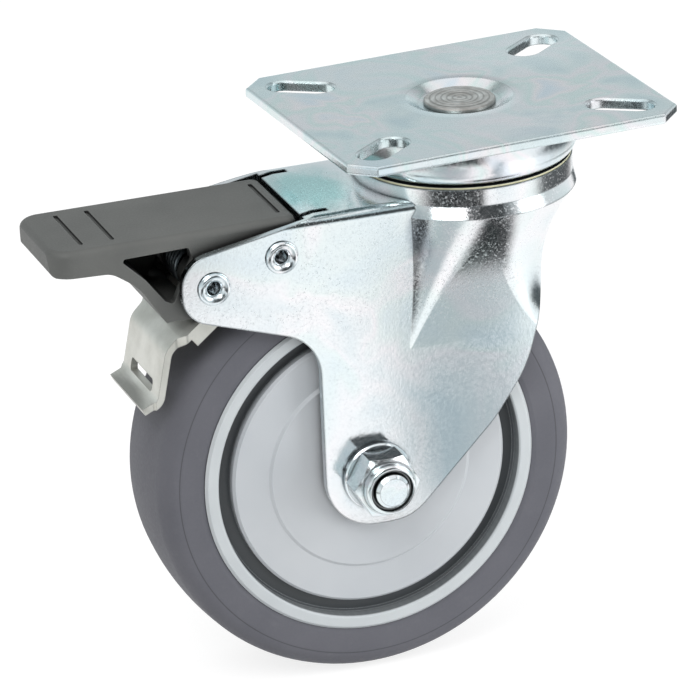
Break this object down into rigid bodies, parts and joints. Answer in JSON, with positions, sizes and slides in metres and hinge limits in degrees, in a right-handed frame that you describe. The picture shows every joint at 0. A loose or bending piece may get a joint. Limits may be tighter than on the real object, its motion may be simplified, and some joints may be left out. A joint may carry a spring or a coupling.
{
  "type": "gate wheel",
  "caption": "Swivel plate wheel for a gate or cabinet: slotted top plate, ball-raced fork, tyred wheel and a foot pedal that locks wheel and swivel.",
  "frame": {"origin": "centre of the mounting plate's top face, on the swivel axis", "axes": "+Z out of the plate's top face, the axle along Y, the fork trailing towards -X with the brake pedal at the -X end"},
  "size_m": [0.1786, 0.0902, 0.1625],
  "materials": {
    "plate_zinc": "bright zinc plating",
    "fork_zinc": "bright zinc plating with a faint iridescence",
    "race_steel": "hardened and plated",
    "pin_steel": "turned",
    "bolt_zinc": "bright zinc plating",
    "ball_steel": "polished",
    "seal_yellow": "soft seal, greased",
    "tyre_grey": "matte, non-marking",
    "core_plastic": "satin",
    "cover_plastic": "satin",
    "pedal_plastic": "fine grained, matte",
    "arm_steel": "satin",
    "insert_plastic": "smooth",
    "spring_steel": "drawn wire"
  },
  "bodies": {
    "plate": {"top_plate": "plate_zinc", "upper_race": "fork_zinc", "kingpin": "pin_steel", "lock_ring": "race_steel"},
    "swivel": {"fork": "fork_zinc", "upper_balls": "ball_steel", "lower_balls": "ball_steel", "race_seal": "seal_yellow", "axle_bolt": "bolt_zinc", "axle_nut": "bolt_zinc", "nut_insert": "insert_plastic", "axle_washers": "bolt_zinc", "axle_sleeve": "race_steel", "axle_spacers": "bolt_zinc", "rear_rivet": "bolt_zinc", "front_rivet": "bolt_zinc", "pedal_bush": "race_steel", "arm_bush": "race_steel", "bearing_inner_rings": "race_steel"},
    "wheel": {"wheel_core": "core_plastic", "tyre": "tyre_grey", "hub_cover_near": "cover_plastic", "hub_cover_far": "cover_plastic", "bearing_outer_rings": "race_steel", "bearing_balls": "ball_steel", "bearing_shields": "race_steel"},
    "pedal": {"brake_pedal": "pedal_plastic", "pedal_spring": "spring_steel"},
    "arm": {"brake_arm": "arm_steel"}
  },
  "joints": [
    {"name": "swivel_turn", "type": "hinge", "parent": "plate", "child": "swivel", "pos_m": [0, 0, 0], "axis": [0, 0, 1], "continuous": true},
    {"name": "wheel_roll", "type": "hinge", "parent": "swivel", "child": "wheel", "pos_m": [-0.037, 0, -0.1], "axis": [0, 1, 0], "continuous": true},
    {"name": "pedal_press", "type": "hinge", "parent": "swivel", "child": "pedal", "pos_m": [-0.082, 0, -0.0362], "axis": [0, -1, 0], "range_deg": [0, 10]},
    {"name": "arm_press", "type": "hinge", "parent": "swivel", "child": "arm", "pos_m": [-0.062, 0, -0.0303], "axis": [0, -1, 0], "range_deg": [0, 3.2]}
  ],
  "couplings": [
    {"joint": "arm_press", "follows": "pedal_press", "ratio": 0.32}
  ]
}
